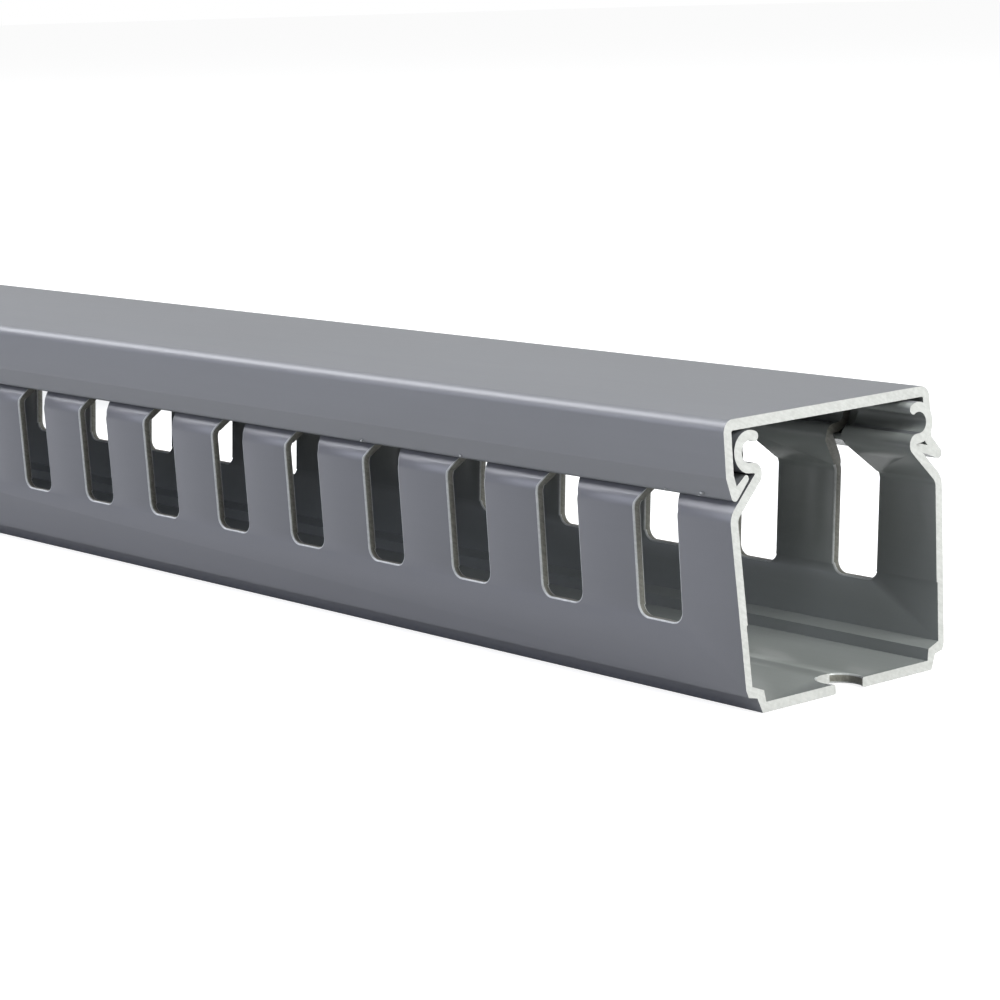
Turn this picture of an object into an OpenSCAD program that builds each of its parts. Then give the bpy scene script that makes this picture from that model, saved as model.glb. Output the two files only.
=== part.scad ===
// Slotted wiring duct: a grey rigid-PVC channel with open-slotted side walls,
// and the cover that snaps over its walls. Stock length, sawn at its front end.
//
// X runs along the duct, Y across it and Z up. The origin is on the underside
// of the floor, midway along the duct and midway between its walls.

/* [Stock] */
// Length of the stock
length = 2000; // [200:20:2000]
// Height of the closed duct, floor underside to cover top
duct_h = 40; // [38:0.5:60]
// Width across the lower corners of the walls
foot_w = 40; // [36:0.5:60]
// Backward lean of the sawn front end
saw_rake = 3.5; // [0:0.5:5]
// Sideways skew of the saw cut through the channel
saw_skew = 0.5; // [-2:0.5:2]
// Sideways skew of the saw cut through the cover
cover_skew = -2; // [-2:0.5:2]

/* [Walls and floor] */
// Thickness of the floor
floor_t = 1.4; // [1:0.1:2]
// Thickness of the solid lower wall
wall_t = 1.2; // [1:0.1:1.4]
// Thickness of the fingers, above the break line
finger_t = 1.4; // [1.4:0.1:1.8]
// Outward lean of each wall
lean = 3; // [0:0.5:4]
// Height of the wall's lower corner above the floor's underside
foot_h = 3.5; // [3:0.1:4.5]
// Setback of the floor's edge from the wall's lower corner
foot_in = 2.9; // [2.4:0.1:4]

/* [Slots] */
// Distance from one slot to the next
pitch = 20; // [15:1:30]
// Width of each slot
slot_w = 8.4; // [4:0.2:10]
// Width of each slot between the fingers' flared heads
throat_w = 2.8; // [2:0.2:3.6]
// Height of the slot bottoms above the floor's underside
slot_bottom = 11; // [8:0.2:16]
// Radius of the slots' bottom corners
slot_r = 1.8; // [0.5:0.1:1.9]
// Width of the finger left whole at the front end
first_finger = 12.2; // [8.2:0.5:18.2]
// Height of the break line above the slot bottoms
break_up = 1.2; // [0.4:0.2:2]

/* [Snap edge] */
// Slope of the wall above its shoulder, from level
slant = 45; // [40:1:50]
// Radius of the shoulder's outer face
shoulder_r = 3; // [2:0.5:4]
// Neck radius, along the middle of the wall
neck_r = 0.85; // [0.8:0.05:0.95]
// Bead radius, over its outer face
bead_r = 2.9; // [2.6:0.1:2.9]
// Setback of the bead's middle from the wall's lower corner
bead_in = 3.1; // [2:0.05:4]
// Setback of the neck's middle behind the bead's middle
neck_in = 0.55; // [0.3:0.05:0.8]
// Height of the bead's middle above the neck's middle
bead_rise = 3.1; // [3.1:0.05:3.6]
// Angle at which the bead's curl ends, past level
curl_end = 118; // [90:1:130]
// Clearance between the cover and the channel
gap = 0.25; // [0.2:0.05:0.4]

/* [Cover] */
// Thickness of the cover
cover_t = 1.5; // [1.2:0.1:1.6]
// Radius of the cover's long outer corners
cover_r = 1.8; // [1.7:0.1:2.4]
// Depth of the straight part of the skirts
skirt_h = 7.6; // [6.5:0.1:8]
// Depth of the near skirt's lip below the cover's top
near_lip_h = 10.2; // [9.8:0.1:10.6]
// Depth of the far skirt's lip below the cover's top
far_lip_h = 9.9; // [9:0.1:10.4]
// Outward spring of the far skirt's lip
far_lip_out = 2.1; // [0:0.1:2.4]
// Radius of the skirts' lips
lip_r = 0.75; // [0.5:0.05:0.75]
// Radius of the barbs' tips
barb_r = 0.5; // [0.4:0.05:0.5]

/* [Mounting holes] */
// Diameter of the holes in the floor
hole_d = 6.5; // [4:0.5:8]
// Distance from one hole to the next
hole_pitch = 100; // [50:10:200]
// Distance of the first hole's middle from the front end
first_hole = 2; // [-3:0.5:50]

/* [Hidden] */
$fn = 64;

front = length/2;
over = 5;                         // how far cutting bodies run past the stock
lap = 0.004;                      // how much larger bends are, so that they fuse with the straights
corner = [foot_w/2, foot_h];      // lower corner of the right wall
up_wall = [sin(lean), cos(lean)]; // direction up the wall
in_wall = [-cos(lean), sin(lean)];

// middles of the bead and neck arcs, on the right-hand side
bead_mid_r = bead_r - finger_t/2;
bead_c = [foot_w/2 - bead_in, duct_h - cover_t - gap - bead_r];
neck_c = bead_c - [neck_in, bead_rise];

// the straight run between neck and bead crosses over between the two arcs
reach = norm(bead_c - neck_c);
cross_a = atan2(bead_rise, neck_in) + acos((neck_r + bead_mid_r)/reach);

// the shoulder rounds off the corner between the wall and its slanting top
wall_0 = corner + in_wall*finger_t/2;
slant_dir = [-cos(slant), sin(slant)];
slant_n = [-sin(slant), -cos(slant)];
slant_0 = neck_c + slant_n*neck_r;
shoulder_mid_r = shoulder_r - finger_t/2;
turn = 90 - slant + lean;
run = cross(slant_0 - wall_0, slant_dir)/cross(up_wall, slant_dir);
shoulder_z = run - shoulder_mid_r*tan(turn/2);
shoulder_0 = wall_0 + up_wall*shoulder_z;
shoulder_c = shoulder_0 + in_wall*shoulder_mid_r;

// the fingers' heads flare from the shoulder's corner to the neck
head_z = (wall_0 + up_wall*run)[1];
head_end = neck_c[1];

// the barb's tip lies in the notch, clear of the slanting wall and of the bead
face_n = -slant_n;
tip_off = finger_t/2 + gap + barb_r;
tip_far = bead_r + gap + barb_r;
tip_d = (slant_0 + face_n*tip_off - bead_c)*face_n;
tip_c = bead_c + face_n*tip_d - slant_dir*sqrt(tip_far*tip_far - tip_d*tip_d);

// the near lip's lower face lies along the slanting wall
cover_w = bead_c[0] + bead_r + gap + cover_t;
near_lip_z = duct_h - near_lip_h;
lip_off = finger_t/2 + gap + lip_r;
lip_0 = slant_0 + face_n*lip_off;
near_lip = lip_0 + slant_dir*(near_lip_z - lip_0[1])/slant_dir[1];
far_lip = [cover_w - cover_t/2 + far_lip_out, duct_h - far_lip_h];

slots = floor((length - first_finger - slot_w)/pitch) + 1;
holes = floor((length - first_hole)/hole_pitch) + 1;

function polar(c, r, a) = c + r*[cos(a), sin(a)];

// How far a straight run laps into a bend of radius r, and by what angle
function lap_run(r) = sqrt(pow(r + lap, 2) - r*r);
function lap_turn(r) = acos(r/(r + lap));

// Straight strip of thickness t from p to q, lapped into bends of radius r and s
module strip(p, q, t, r, s) {
    along = (q - p)/norm(q - p);
    n = [-along[1], along[0]]*t/2;
    a = p - along*lap_run(r);
    b = q + along*lap_run(s);
    polygon([a - n, b - n, b + n, a + n]);
}

// Strip of thickness t bent about c, centred on radius r, from angle a to b
module bend(c, r, t, a, b) {
    from = a - lap_turn(r);
    sweep = b - a + 2*lap_turn(r);
    steps = 2*ceil(sweep/90);
    intersection() {
        translate(c) difference() {
            circle(r + lap + t/2);
            circle(r + lap - t/2);
        }
        polygon([c, for (i = [0:steps]) polar(c, 2*(r + t), from + sweep*i/steps)]);
    }
}

// Bar from p to q that narrows from half-width r to s
module taper(p, r, q, s) {
    side = acos((r - s)/norm(q - p));
    along = atan2(q[1] - p[1], q[0] - p[0]);
    polygon([
        polar(p, r, along - side), polar(q, s, along - side),
        polar(q, s, along + side), polar(p, r, along + side)
    ]);
}

// Round end of radius r about c
module round_end(c, r) {
    translate(c) circle(r + lap);
}

module both_sides() {
    children();
    mirror([1, 0]) children();
}

// Right half of the floor, its stepped foot and the wall up to the shoulder
module wall_section() {
    shelf = foot_h - 1;
    break_z = slot_bottom + break_up;
    break_run = (break_z - foot_h)/cos(lean);
    at_break = corner + up_wall*break_run;
    low_in = corner + in_wall*wall_t;
    wall_top = shoulder_0 + up_wall*lap_run(shoulder_mid_r);
    polygon([
        [0, 0],
        [foot_w/2 - foot_in, 0],
        [foot_w/2 - foot_in + 0.9, shelf - 0.35],
        [foot_w/2 - 0.4, shelf],
        corner,
        wall_top - in_wall*finger_t/2,
        wall_top + in_wall*finger_t/2,
        at_break + in_wall*finger_t,
        at_break + in_wall*wall_t,
        low_in + up_wall*0.3,
        [foot_w/2 - foot_in - 0.45, foot_h - 0.45],
        [foot_w/2 - foot_in - 0.75, floor_t],
        [0, floor_t]
    ]);
}

// Right-hand snap edge: shoulder, slanting wall, neck and curled bead
module snap_section() {
    slant_start = polar(shoulder_c, shoulder_mid_r, 90 - slant);
    link_start = polar(neck_c, neck_r, cross_a);
    link_end = polar(bead_c, -bead_mid_r, cross_a);
    bend(shoulder_c, shoulder_mid_r, finger_t, -lean, 90 - slant);
    strip(slant_start, slant_0, finger_t, shoulder_mid_r, neck_r);
    bend(neck_c, neck_r, finger_t, cross_a, 270 - slant);
    strip(link_start, link_end, finger_t, neck_r, bead_mid_r);
    bend(bead_c, bead_mid_r, finger_t, cross_a - 180, curl_end);
    round_end(polar(bead_c, bead_mid_r + lap, curl_end), finger_t/2);
}

// Everything in front of the saw cut, which pivots about the far lower corner
module sawn_off(pivot, skew) {
    translate(pivot) rotate([0, -saw_rake, -skew])
        translate([0, -3*foot_w, -duct_h]) cube([duct_h, 6*foot_w, 4*duct_h]);
}

// All the slots of both walls as one comb, open at the top
module slot_comb() {
    top = duct_h + 1 - slot_bottom;
    flare_0 = head_z - slot_bottom;
    flare_1 = head_end - slot_bottom;
    rotate([90, 0, 0]) linear_extrude(3*foot_w, center = true) {
        translate([-front - over, duct_h]) square([length + 2*over, over]);
        for (i = [0:slots - 1])
            translate([front - first_finger - slot_w/2 - i*pitch, slot_bottom]) {
                polygon([
                    [-slot_w/2, slot_r], [slot_w/2, slot_r], [slot_w/2, flare_0],
                    [throat_w/2, flare_1], [throat_w/2, top],
                    [-throat_w/2, top], [-throat_w/2, flare_1], [-slot_w/2, flare_0]
                ]);
                translate([slot_r - slot_w/2, 0]) square([slot_w - 2*slot_r, flare_0]);
                for (side = [-1, 1])
                    translate([side*(slot_w/2 - slot_r), slot_r]) circle(slot_r);
            }
    }
}

// Stock of the section given as children, along X
module extruded() {
    rotate([90, 0, 90]) linear_extrude(length, center = true) children();
}

module duct() {
    color("slategray") difference() {
        extruded() both_sides() {
            wall_section();
            snap_section();
        }
        slot_comb();
        for (i = [0:holes - 1])
            translate([front - first_hole - i*hole_pitch, 0, -over])
                cylinder(d = hole_d, h = floor_t + 2*over);
        sawn_off([front, foot_w/2, 0], saw_skew);
    }
}

// Right half of the cover's top, its corner and skirt, with the lip given
module skirt_section(lip) {
    corner_c = [cover_w - cover_r, duct_h - cover_r];
    bend_r = cover_r - cover_t/2;
    knee = [cover_w - cover_t/2, duct_h - skirt_h];
    top_w = corner_c[0] + lap_run(bend_r);
    side_h = corner_c[1] - knee[1] + lap_run(bend_r);
    translate([0, duct_h - cover_t]) square([top_w, cover_t]);
    bend(corner_c, bend_r, cover_t, 0, 90);
    translate([cover_w - cover_t, knee[1]]) square([cover_t, side_h]);
    round_end(knee, cover_t/2);
    taper(knee, cover_t/2, lip, lip_r);
    round_end(lip, lip_r);
    taper(lip, lip_r, tip_c, barb_r);
    round_end(tip_c, barb_r);
}

module cover() {
    near_corner = front - duct_h*tan(saw_rake) - (foot_w/2 + cover_w)*tan(saw_skew);
    color("lightslategray") difference() {
        extruded() {
            skirt_section(far_lip);
            mirror([1, 0]) skirt_section(near_lip);
        }
        sawn_off([near_corner, -cover_w, duct_h], cover_skew);
    }
}

duct();
cover();
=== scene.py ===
import math
import bmesh
import bpy
from mathutils import Matrix, Vector


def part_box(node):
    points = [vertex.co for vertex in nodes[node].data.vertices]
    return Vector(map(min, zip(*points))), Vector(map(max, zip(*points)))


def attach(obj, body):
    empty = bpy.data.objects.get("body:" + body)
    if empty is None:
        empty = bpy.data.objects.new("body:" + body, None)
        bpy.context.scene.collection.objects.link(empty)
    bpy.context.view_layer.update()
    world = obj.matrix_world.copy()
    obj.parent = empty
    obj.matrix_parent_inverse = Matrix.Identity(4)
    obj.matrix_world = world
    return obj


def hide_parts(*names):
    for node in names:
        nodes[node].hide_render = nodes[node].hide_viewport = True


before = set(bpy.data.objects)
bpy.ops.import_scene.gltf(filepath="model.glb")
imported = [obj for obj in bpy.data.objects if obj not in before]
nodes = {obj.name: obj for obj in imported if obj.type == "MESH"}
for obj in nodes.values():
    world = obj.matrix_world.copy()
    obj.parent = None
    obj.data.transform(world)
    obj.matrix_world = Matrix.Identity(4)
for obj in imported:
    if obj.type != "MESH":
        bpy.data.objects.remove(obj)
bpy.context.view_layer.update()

# ---------------------------------------------------------------- camera
azimuth, elevation, roll = math.radians(49.28), math.radians(10.03), math.radians(-1.51)
back = Vector((math.sin(azimuth) * math.cos(elevation), -math.cos(azimuth) * math.cos(elevation), math.sin(elevation)))
right = (-back).cross(Vector((0, 0, 1))).normalized()
up = right.cross(-back)
turned_right = right * math.cos(roll) + up * math.sin(roll)
turned_up = up * math.cos(roll) - right * math.sin(roll)
camera = bpy.data.objects.new("camera", bpy.data.cameras.new("camera"))
bpy.context.collection.objects.link(camera)
axes = Matrix((turned_right, turned_up, back)).transposed()
camera.matrix_world = Matrix.Translation((1.2551, -0.2826, 0.0949)) @ axes.to_4x4()
camera.data.sensor_width = 36
camera.data.lens = 36 * 2.8092
camera.data.clip_start, camera.data.clip_end = 0.01, 60
bpy.context.scene.camera = camera
bpy.context.scene.view_settings.view_transform = "Standard"


# ---------------------------------------------------------------- nodes
class Tree:
    """Short words for building a node tree."""

    def __init__(self, tree):
        self.tree = tree

    def add(self, kind, ins=None, **props):
        node = self.tree.nodes.new(kind)
        for key, value in props.items():
            setattr(node, key, value)
        for key, value in (ins or {}).items():
            if isinstance(value, bpy.types.NodeSocket):
                self.tree.links.new(value, node.inputs[key])
            else:
                node.inputs[key].default_value = value
        return node

    def math(self, operation, *values, clamp=False):
        return self.add("ShaderNodeMath", dict(enumerate(values)), operation=operation, use_clamp=clamp).outputs[0]

    def step(self, value, low, high):
        return self.add("ShaderNodeMapRange", {"Value": value, "From Min": low, "From Max": high},
                        interpolation_type="SMOOTHSTEP").outputs["Result"]

    def mix(self, factor, a, b, blend="MIX"):
        node = self.add("ShaderNodeMix", data_type="RGBA", blend_type=blend)
        for socket, value in ((node.inputs[0], factor), (node.inputs[6], a), (node.inputs[7], b)):
            if isinstance(value, bpy.types.NodeSocket):
                self.tree.links.new(value, socket)
            else:
                socket.default_value = value
        return node.outputs[2]

    def noise(self, vector, scale, detail=4, rough=0.5):
        return self.add("ShaderNodeTexNoise", {"Vector": vector, "Scale": scale, "Detail": detail, "Roughness": rough}).outputs["Fac"]


def new_group(name, ins, outs):
    group = bpy.data.node_groups.new(name, "ShaderNodeTree")
    for socket, kind, value in ins:
        made = group.interface.new_socket(socket, in_out="INPUT", socket_type=kind)
        if value is not None:
            made.default_value = value
    for socket, kind in outs:
        group.interface.new_socket(socket, in_out="OUTPUT", socket_type=kind)
    tree = Tree(group)
    return group, tree, tree.add("NodeGroupInput").outputs, tree.add("NodeGroupOutput")


F, C, V = "NodeSocketFloat", "NodeSocketColor", "NodeSocketVector"


def extruded_skin_group():
    """The drawn surface: die lines that run along the stock, slow cloudiness and fine grain."""
    group, t, i, o = new_group("extruded skin", [("Vector", V, None), ("Cloud", F, 0.08), ("Lines", F, 0.05), ("Grain", F, 0.03)],
                               [("Shade", F), ("Height", F), ("Gloss", F)])
    along = t.add("ShaderNodeMapping", {"Vector": i["Vector"], "Scale": (0.04, 1, 1)}).outputs[0]
    cloud = t.noise(t.add("ShaderNodeMapping", {"Vector": i["Vector"], "Scale": (0.35, 1, 1)}).outputs[0], 45, 3)
    lines = t.noise(along, 900, 5, 0.65)
    grain = t.noise(i["Vector"], 5200, 2)
    centred = [t.math("MULTIPLY", t.math("SUBTRACT", a, 0.5), b) for a, b in ((cloud, i["Cloud"]), (lines, i["Lines"]), (grain, i["Grain"]))]
    shade = t.math("ADD", t.math("ADD", t.math("ADD", centred[0], centred[1]), centred[2]), 1.0)
    t.tree.links.new(shade, o.inputs["Shade"])
    t.tree.links.new(t.math("ADD", t.math("MULTIPLY", lines, 0.8), t.math("MULTIPLY", grain, 0.35)), o.inputs["Height"])
    t.tree.links.new(t.math("ADD", cloud, t.math("MULTIPLY", lines, 0.4)), o.inputs["Gloss"])
    return group


def cut_mark_group():
    """A sawn or punched face: fine straight tooth marks over a crumbly, paler grain."""
    group, t, i, o = new_group("cut marks", [("Vector", V, None), ("Slant", F, 0.6), ("Pitch", F, 2600.0)],
                               [("Shade", F), ("Height", F)])
    turned = t.add("ShaderNodeMapping", {"Vector": i["Vector"], "Rotation": (0.5, 0.1, 0)}).outputs[0]
    teeth = t.noise(t.add("ShaderNodeMapping", {"Vector": turned, "Scale": (1, 0.12, 1)}).outputs[0], i["Pitch"], 3, 0.6)
    crumb = t.noise(i["Vector"], 1500, 4, 0.6)
    t.tree.links.new(t.math("ADD", t.math("MULTIPLY", teeth, 0.5), t.math("MULTIPLY", crumb, 0.5)), o.inputs["Shade"])
    t.tree.links.new(t.math("ADD", teeth, t.math("MULTIPLY", crumb, 0.7)), o.inputs["Height"])
    return group


skin_group, cut_group = extruded_skin_group(), cut_mark_group()


def material(name):
    mat = bpy.data.materials.new(name)
    mat.use_nodes = True
    mat.node_tree.nodes.clear()
    t = Tree(mat.node_tree)
    shader = t.add("ShaderNodeBsdfPrincipled")
    out = t.add("ShaderNodeOutputMaterial", {"Surface": shader.outputs[0]})
    place = t.add("ShaderNodeTexCoord").outputs["Object"]
    return mat, t, shader, place


def pvc_skin(name, colour, tint, roughness, cloud):
    mat, t, shader, place = material(name)
    skin = t.add("ShaderNodeGroup", node_tree=skin_group)
    t.tree.links.new(place, skin.inputs["Vector"])
    skin.inputs["Cloud"].default_value = cloud
    shader.inputs["Specular IOR Level"].default_value = 0.9
    base = t.mix(t.math("MULTIPLY", skin.outputs["Gloss"], 0.5), (*colour, 1), (*tint, 1))
    shaded = t.add("ShaderNodeVectorMath", {0: base, "Scale": skin.outputs["Shade"]}, operation="SCALE").outputs[0]
    t.tree.links.new(shaded, shader.inputs["Base Color"])
    rough = t.math("ADD", t.math("MULTIPLY", skin.outputs["Gloss"], 0.12), roughness - 0.08)
    t.tree.links.new(rough, shader.inputs["Roughness"])
    bump = t.add("ShaderNodeBump", {"Strength": 0.12, "Distance": 0.00006, "Height": skin.outputs["Height"]})
    t.tree.links.new(bump.outputs[0], shader.inputs["Normal"])
    return mat


def cut_face(name, dark, pale, roughness, pitch):
    mat, t, shader, place = material(name)
    marks = t.add("ShaderNodeGroup", {"Vector": place, "Pitch": pitch}, node_tree=cut_group)
    t.tree.links.new(t.mix(t.step(marks.outputs["Shade"], 0.32, 0.68), (*dark, 1), (*pale, 1)), shader.inputs["Base Color"])
    shader.inputs["Roughness"].default_value = roughness
    bump = t.add("ShaderNodeBump", {"Strength": 0.3, "Distance": 0.0001, "Height": marks.outputs["Height"]})
    t.tree.links.new(bump.outputs[0], shader.inputs["Normal"])
    return mat


duct_skin = pvc_skin("grey duct skin", (0.118, 0.121, 0.134), (0.138, 0.141, 0.154), 0.36, 0.10)
# Painted light: the inner skin is a copy of the duct's PVC about twice as light and greener, standing in for light in
# the shaded inside of the duct and cover.
lightened_inner_skin = pvc_skin("glossy inner skin", (0.235, 0.248, 0.242), (0.260, 0.273, 0.267), 0.22, 0.08)
cover_skin = pvc_skin("grey cover skin", (0.150, 0.154, 0.165), (0.170, 0.174, 0.185), 0.38, 0.12)
sawn_face = cut_face("sawn face", (0.37, 0.37, 0.36), (0.46, 0.46, 0.45), 0.6, 2600)
punched_face = cut_face("punched face", (0.115, 0.112, 0.097), (0.185, 0.181, 0.158), 0.4, 3400)
# The pressed rim's pale colour is partly the whitening of punched PVC and partly a painted highlight along the slot
# edges; the shavings reuse it for their own pale colour.
pale_rim_and_painted_highlight = cut_face("pressed rim", (0.36, 0.37, 0.37), (0.48, 0.49, 0.49), 0.3, 2000)


# ---------------------------------------------------------------- pieces
SKIN, SAWN, PUNCHED, RIM, LIGHTENED_INNER = range(5)


def face_finish(face):
    """Which tool or die left this face; faces turned inward, and low faces turned up, get the lightened inner skin, a
    painted-light copy of the skin.
    """
    n, c = face.normal, face.calc_center_median()
    side = 1 if c.y > 0 else -1
    if abs(n.x) > 0.9 and abs(c.x) > 0.99:
        return SAWN
    if abs(n.x) > 0.03 or (n.z > 0.97 and abs(c.y) > 0.0178 and 0.009 < c.z < 0.014):
        return PUNCHED
    if c.z < 0.0014 and math.hypot(n.x, n.y) > 0.9 and abs(c.y) < 0.005:
        return PUNCHED
    # Inward and low upward faces take the lightened inner skin, which is painted light.
    if n.y * side < -0.3 or (n.z > 0.6 and c.z < 0.008):
        return LIGHTENED_INNER
    return SKIN


def rim_edge(edge):
    """An edge where a punched slot or hole breaks out of the skin, near either end of the stock."""
    if len(edge.link_faces) != 2 or min(abs(v.co.x) for v in edge.verts) < 0.74:
        return False
    kinds = {f.material_index for f in edge.link_faces}
    high = max(v.co.z for v in edge.verts)
    return PUNCHED in kinds and len(kinds) == 2 and SAWN not in kinds and (0.0105 < high < 0.0292 or high < 0.0016)


def finished_copy(node, name, body, skin):
    """A merged copy of the solid, its punched rims rounded over and each face given its finish."""
    bm = bmesh.new()
    bm.from_mesh(nodes[node].data)
    bmesh.ops.remove_doubles(bm, verts=bm.verts[:], dist=2.5e-5)
    bmesh.ops.dissolve_limit(bm, angle_limit=math.radians(2.5), verts=bm.verts[:], edges=bm.edges[:])
    bm.normal_update()
    for face in bm.faces:
        face.smooth = True
        face.material_index = face_finish(face)
    # The rounded slot rims take the pale rim material, which is partly a painted highlight.
    bmesh.ops.bevel(bm, geom=[e for e in bm.edges if rim_edge(e)], offset=0.00024, offset_type="OFFSET", segments=2,
                    profile=0.5, affect="EDGES", material=RIM, clamp_overlap=False)
    bm.normal_update()
    for edge in bm.edges:
        if len(edge.link_faces) == 2:
            bevelled = any(f.material_index == RIM for f in edge.link_faces)
            edge.smooth = edge.calc_face_angle(0) < math.radians(50 if bevelled else 28)
    mesh = bpy.data.meshes.new(name)
    bm.to_mesh(mesh)
    bm.free()
    if "custom_normal" in mesh.attributes:
        mesh.attributes.remove(mesh.attributes["custom_normal"])
    for mat in (skin, sawn_face, punched_face, pale_rim_and_painted_highlight, lightened_inner_skin):
        mesh.materials.append(mat)
    piece = bpy.data.objects.new(name, mesh)
    bpy.context.collection.objects.link(piece)
    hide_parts(node)
    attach(piece, body)
    return piece


def shaving(name, place, length, width, turns, heading, body):
    """A thin curl of plastic left hanging from a sawn or sheared edge."""
    bm = bmesh.new()
    radius = length / (turns * 2 * math.pi)
    ends = [bm.verts.new((-width / 2, radius, 0)), bm.verts.new((width / 2, radius * 0.94, 0))]
    bm.edges.new(ends)
    bmesh.ops.spin(bm, geom=bm.verts[:] + bm.edges[:], cent=(0, 0, 0), axis=(1, 0, 0), dvec=(width * 0.12, 0, 0),
                   angle=turns * 2 * math.pi, steps=9, use_duplicate=False)
    bmesh.ops.recalc_face_normals(bm, faces=bm.faces[:])
    bmesh.ops.solidify(bm, geom=bm.faces[:], thickness=width * 0.3)
    bmesh.ops.translate(bm, verts=bm.verts[:], vec=(0, -radius, 0))
    bmesh.ops.rotate(bm, verts=bm.verts[:], cent=(0, 0, 0), matrix=Matrix.Rotation(heading, 3, "Z"))
    bmesh.ops.translate(bm, verts=bm.verts[:], vec=place)
    bmesh.ops.recalc_face_normals(bm, faces=bm.faces[:])
    for face in bm.faces:
        face.smooth = True
    mesh = bpy.data.meshes.new(name)
    bm.to_mesh(mesh)
    bm.free()
    mesh.materials.append(pale_rim_and_painted_highlight)
    piece = bpy.data.objects.new(name, mesh)
    bpy.context.collection.objects.link(piece)
    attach(piece, body)
    return piece


duct = finished_copy("duct", "slotted_duct", "channel", duct_skin)
cover = finished_copy("cover", "snap_cover", "lid", cover_skin)

lid_low, lid_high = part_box("cover")
near_lip = Vector((lid_high.x, lid_low.y + 0.0012, lid_low.z + 0.00018)) if hasattr(lid_low, "x") else Vector((lid_high[0], lid_low[1] + 0.0012, lid_low[2] + 0.00018))
for number, (behind, length, width, turns, heading) in enumerate((
        (0.0062, 0.0014, 0.00055, 0.35, 0.4), (0.0125, 0.0008, 0.0003, 0.4, -0.5), (0.031, 0.0006, 0.00025, 0.3, 0.9),
        (0.0560, 0.0010, 0.0004, 0.4, 0.2), (0.0790, 0.0011, 0.0004, 0.45, -0.3), (0.118, 0.0008, 0.0003, 0.35, 0.7)), 1):
    shaving(f"lip_shaving_{number}", near_lip - Vector((behind, 0, 0)), length, width, turns, heading, "lid")

# ---------------------------------------------------------------- stage
floor_mesh = bpy.data.meshes.new("studio_floor")
bm = bmesh.new()
bmesh.ops.create_grid(bm, x_segments=1, y_segments=1, size=25)
bmesh.ops.translate(bm, verts=bm.verts[:], vec=(0, 0, -0.0002))
bm.to_mesh(floor_mesh)
bm.free()
floor = bpy.data.objects.new("studio_floor", floor_mesh)
bpy.context.collection.objects.link(floor)
paper = bpy.data.materials.new("white paper")
paper.use_nodes = True
paper.node_tree.nodes.clear()
t = Tree(paper.node_tree)
lit = t.add("ShaderNodeBsdfDiffuse", {"Color": (0.45, 0.45, 0.45, 1)})
spot = t.add("ShaderNodeSeparateXYZ", {0: t.add("ShaderNodeTexCoord").outputs["Object"]}).outputs
# Painted shadow: the floor's camera-seen glow is dimmed by up to 0.7 in a band from Y 0.03 to 0.26 behind the duct,
# wherever X is below about 0.7; the band runs on past the duct's -X end across the floor.
behind = t.math("MULTIPLY", t.step(spot["Y"], 0.03, 0.10), t.step(spot["Y"], 0.26, 0.17))
shaded = t.math("MULTIPLY", behind, t.step(spot["X"], 0.74, 0.66))
floor_glow_with_painted_shadow = t.add("ShaderNodeEmission", {"Color": (1, 1, 1, 1), "Strength": t.math("SUBTRACT", 0.85, t.math("MULTIPLY", shaded, 0.7))})
seen = t.add("ShaderNodeLightPath").outputs["Is Camera Ray"]
both = t.add("ShaderNodeAddShader", {0: lit.outputs[0], 1: floor_glow_with_painted_shadow.outputs[0]})
mixed = t.add("ShaderNodeMixShader", {0: seen, 1: lit.outputs[0], 2: both.outputs[0]})
t.add("ShaderNodeOutputMaterial", {"Surface": mixed.outputs[0]})
floor_mesh.materials.append(paper)

world = bpy.data.worlds.new("studio")
bpy.context.scene.world = world
world.use_nodes = True
world.node_tree.nodes.clear()
t = Tree(world.node_tree)
direction = t.add("ShaderNodeSeparateXYZ", {0: t.add("ShaderNodeTexCoord").outputs["Generated"]}).outputs
rear = t.step(direction["Y"], -0.2, 0.5)
soft = t.add("ShaderNodeBackground", {"Color": (1, 1, 1, 1), "Strength": t.math("ADD", t.math("MULTIPLY", rear, 0.32), 0.12)})
white = t.add("ShaderNodeBackground", {"Color": (1, 1, 1, 1), "Strength": 1.0})
seen = t.add("ShaderNodeLightPath").outputs["Is Camera Ray"]
t.add("ShaderNodeOutputWorld", {"Surface": t.add("ShaderNodeMixShader", {0: seen, 1: soft.outputs[0], 2: white.outputs[0]}).outputs[0]})


def softbox(name, place, target, size, power, colour=(1, 1, 1)):
    lamp = bpy.data.lights.new(name, "AREA")
    lamp.shape, lamp.size, lamp.size_y = "RECTANGLE", *size
    lamp.energy, lamp.color = power, colour
    box = bpy.data.objects.new(name, lamp)
    bpy.context.collection.objects.link(box)
    box.matrix_world = Matrix.Translation(place) @ (Vector(target) - Vector(place)).to_track_quat("-Z", "Y").to_matrix().to_4x4()
    box.visible_camera = False


softbox("long strip", (-0.35, -0.36, 1.05), (-0.35, -0.05, 0.02), (2.4, 0.75), 30, (0.93, 0.94, 1.0))
softbox("near side", (0.1, -1.7, 0.75), (0.1, 0, 0.02), (2.6, 0.6), 17, (0.80, 0.84, 1.0))
softbox("open end", (2.15, 0.12, 0.95), (0.98, 0, 0.01), (0.6, 0.6), 26, (0.97, 1.0, 0.97))
softbox("low end", (2.7, 0.02, 0.56), (0.95, 0, 0.01), (0.5, 0.3), 14, (0.97, 1.0, 0.97))
